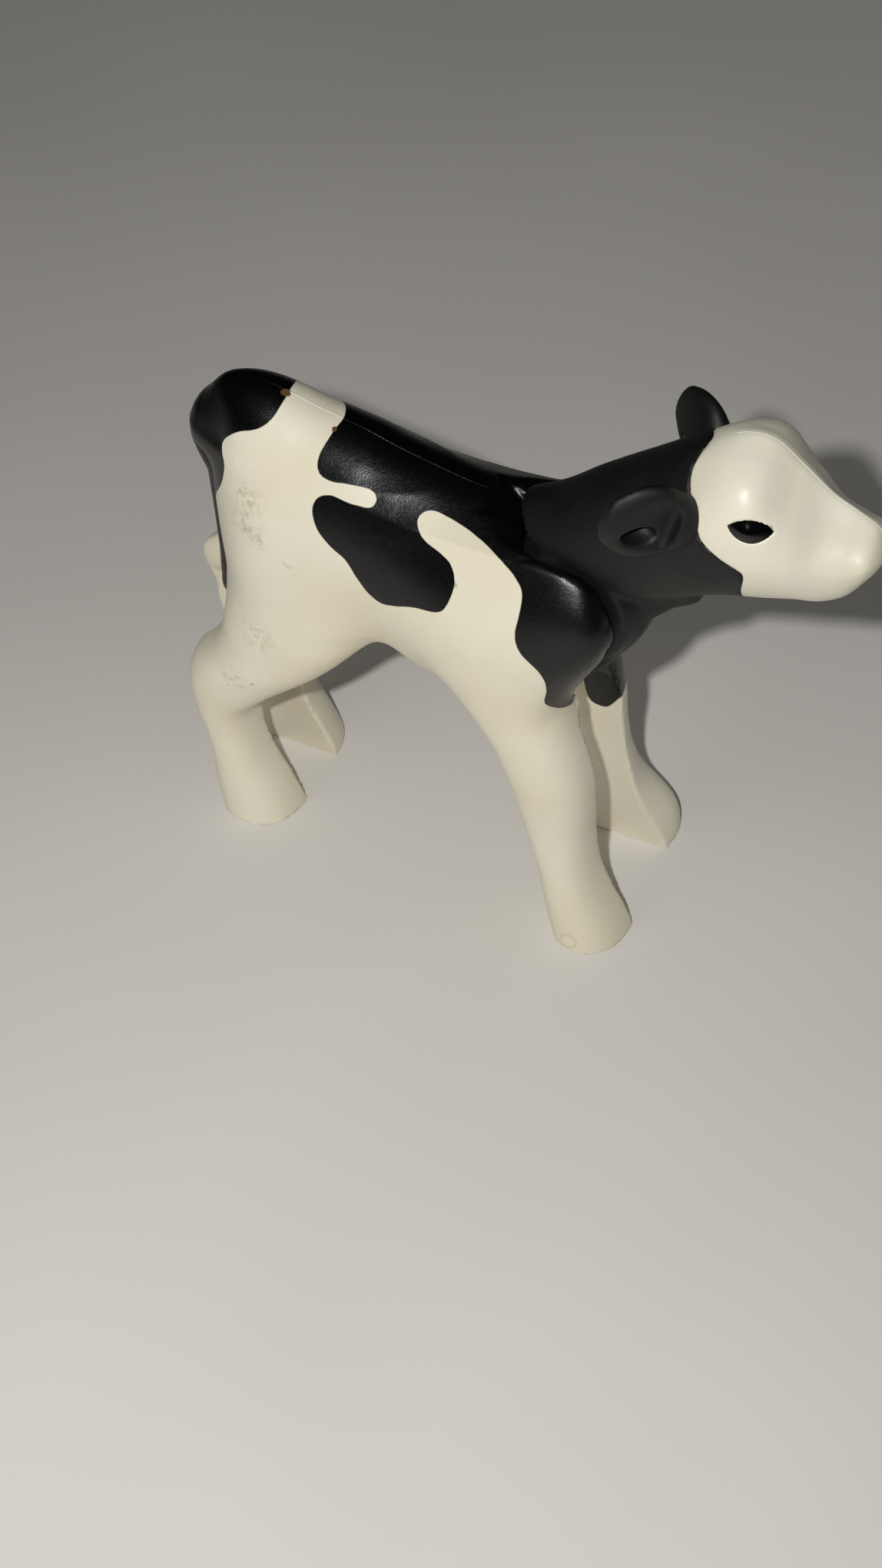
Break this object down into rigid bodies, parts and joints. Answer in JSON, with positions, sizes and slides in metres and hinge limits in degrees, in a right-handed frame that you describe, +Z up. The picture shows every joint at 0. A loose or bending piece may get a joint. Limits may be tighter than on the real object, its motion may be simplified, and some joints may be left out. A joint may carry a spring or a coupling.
{
  "type": "toy farm animal figure",
  "caption": "Small hard plastic toy calf with black patches, standing on flat hooves, with a head that nods on a pin between the shoulders.",
  "frame": {"origin": "on the ground, under the middle of the calf's box", "axes": "+X towards the nose, +Y towards the calf's left side, +Z up"},
  "size_m": [0.0692, 0.022, 0.0608],
  "materials": {
    "ivory_plastic": "satin ivory hard plastic with painted black patches",
    "face_plastic": "smooth satin white hard plastic",
    "black_plastic": "matte charcoal black plastic",
    "black_paint": "satin charcoal black",
    "eye_gloss": "glossy black",
    "pin_plastic": "plain grey plastic, hidden inside"
  },
  "bodies": {
    "trunk": {"body_half_right": "ivory_plastic", "body_half_left": "ivory_plastic", "tail": "black_paint", "neck_pin": "pin_plastic"},
    "head": {"neck_and_head_core": "black_plastic", "face_shell": "face_plastic", "eye_right": "eye_gloss", "eye_left": "eye_gloss", "ear_right": "black_plastic", "ear_left": "black_plastic"}
  },
  "joints": [
    {"name": "neck_nod", "type": "hinge", "parent": "trunk", "child": "head", "pos_m": [0.00774, 0, 0.0395], "axis": [0, 1, 0], "range_deg": [-8, 38]}
  ]
}
